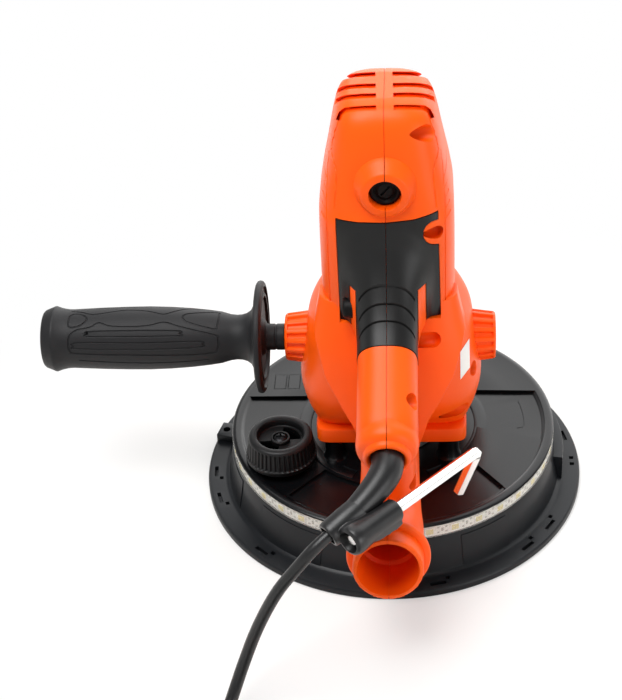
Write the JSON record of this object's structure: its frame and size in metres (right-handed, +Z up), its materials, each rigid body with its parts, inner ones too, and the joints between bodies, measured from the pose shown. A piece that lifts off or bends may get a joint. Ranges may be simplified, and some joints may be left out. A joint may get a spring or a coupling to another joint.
{
  "type": "plaster sander",
  "caption": "Hand-held plaster sander: upright motor over a round lit dust shroud, rear loop handle with trigger, side handle, dust port, suction knob and mains cord.",
  "frame": {"origin": "centre of the working face, on the surface that the sander stands on", "axes": "+Z up along the spindle, -X along the side handle, -Y towards the loop handle, dust port and cord"},
  "size_m": [0.3115, 0.4441, 0.26],
  "materials": {
    "orange_shell": "fine moulded texture",
    "soft_grip": "matt overmould",
    "black_plastic": "fine moulded texture",
    "drum_plastic": "polished moulding",
    "steel": "turned",
    "bright_steel": "plated",
    "alloy": "die cast",
    "brass": "turned",
    "copper": "wound and turned copper",
    "carbon": "pressed carbon",
    "foam": "open foam",
    "abrasive": "coated grit",
    "light_cover": "clear strip over small lamps",
    "cord_rubber": "smooth cord sheath"
  },
  "bodies": {
    "sander_body": {"housing_left": "orange_shell", "housing_right": "orange_shell", "grip_left": "soft_grip", "grip_right": "soft_grip", "housing_screw_1": "steel", "housing_screw_2": "steel", "housing_screw_3": "steel", "housing_screw_4": "steel", "housing_screw_5": "steel", "housing_screw_6": "steel", "housing_screw_7": "steel", "gear_case": "alloy", "gear_case_cover": "alloy", "spindle_bearing_lower": "steel", "spindle_bearing_upper": "steel", "armature_bearing_lower": "steel", "armature_bearing_upper": "steel", "bearing_sleeve": "cord_rubber", "stator_core": "steel", "field_coil_left": "copper", "field_coil_right": "copper", "brush_holder_rear": "brass", "brush_holder_front": "brass", "carbon_brush_rear": "carbon", "carbon_brush_front": "carbon", "brush_cap_rear": "black_plastic", "brush_cap_front": "black_plastic", "shroud_drum": "drum_plastic", "knob_screw": "steel", "shroud_skirt": "black_plastic", "seal_ring": "foam", "light_strip": "light_cover", "side_handle_grip": "black_plastic", "side_handle_stud": "steel", "handle_insert_left": "brass", "handle_insert_right": "brass", "power_switch": "black_plastic", "strain_relief": "cord_rubber", "key_holder": "cord_rubber", "mains_cord": "cord_rubber", "cord_coil": "cord_rubber", "cord_tail": "cord_rubber", "cord_tie": "cord_rubber", "mains_plug": "black_plastic"},
    "pad_spindle": {"spindle": "steel", "spindle_gear": "steel", "sanding_disc": "abrasive", "foam_pad": "foam", "backing_plate": "black_plastic", "pad_bolt": "steel"},
    "countershaft_set": {"countershaft": "steel", "counter_gear": "steel"},
    "armature": {"armature_shaft": "steel", "armature_core": "steel", "commutator": "copper", "cooling_fan": "black_plastic"},
    "suction_dial": {"suction_knob": "black_plastic"},
    "trigger_lever": {"trigger": "black_plastic"},
    "lock_pin": {"lock_button": "black_plastic"},
    "key": {"hex_key": "bright_steel"}
  },
  "joints": [
    {"name": "spindle_spin", "type": "hinge", "parent": "sander_body", "child": "pad_spindle", "pos_m": [0, 0, 0.04], "axis": [0, 0, 1], "continuous": true},
    {"name": "countershaft_spin", "type": "hinge", "parent": "sander_body", "child": "countershaft_set", "pos_m": [0.024, 0, 0.072], "axis": [0, 0, 1], "continuous": true},
    {"name": "armature_spin", "type": "hinge", "parent": "sander_body", "child": "armature", "pos_m": [0, 0, 0.15], "axis": [0, 0, 1], "continuous": true},
    {"name": "suction_turn", "type": "hinge", "parent": "sander_body", "child": "suction_dial", "pos_m": [-0.064, -0.034, 0.048], "axis": [0, 0, 1], "range_deg": [0, 90]},
    {"name": "trigger_pull", "type": "slide", "parent": "sander_body", "child": "trigger_lever", "axis": [0, -0.4034, 0.915], "range_m": [0, 0.005], "stiffness_N_per_m": 500, "springref_m": -0.004},
    {"name": "lock_press", "type": "slide", "parent": "sander_body", "child": "lock_pin", "axis": [1, 0, 0], "range_m": [0, 0.003], "stiffness_N_per_m": 400, "springref_m": -0.003},
    {"name": "key_pull", "type": "slide", "parent": "sander_body", "child": "key", "axis": [0.6859, 0.7277, 0], "range_m": [0, 0.046]}
  ],
  "couplings": [
    {"joint": "countershaft_spin", "follows": "spindle_spin", "ratio": -2.4286},
    {"joint": "armature_spin", "follows": "spindle_spin", "ratio": 7.2857}
  ]
}
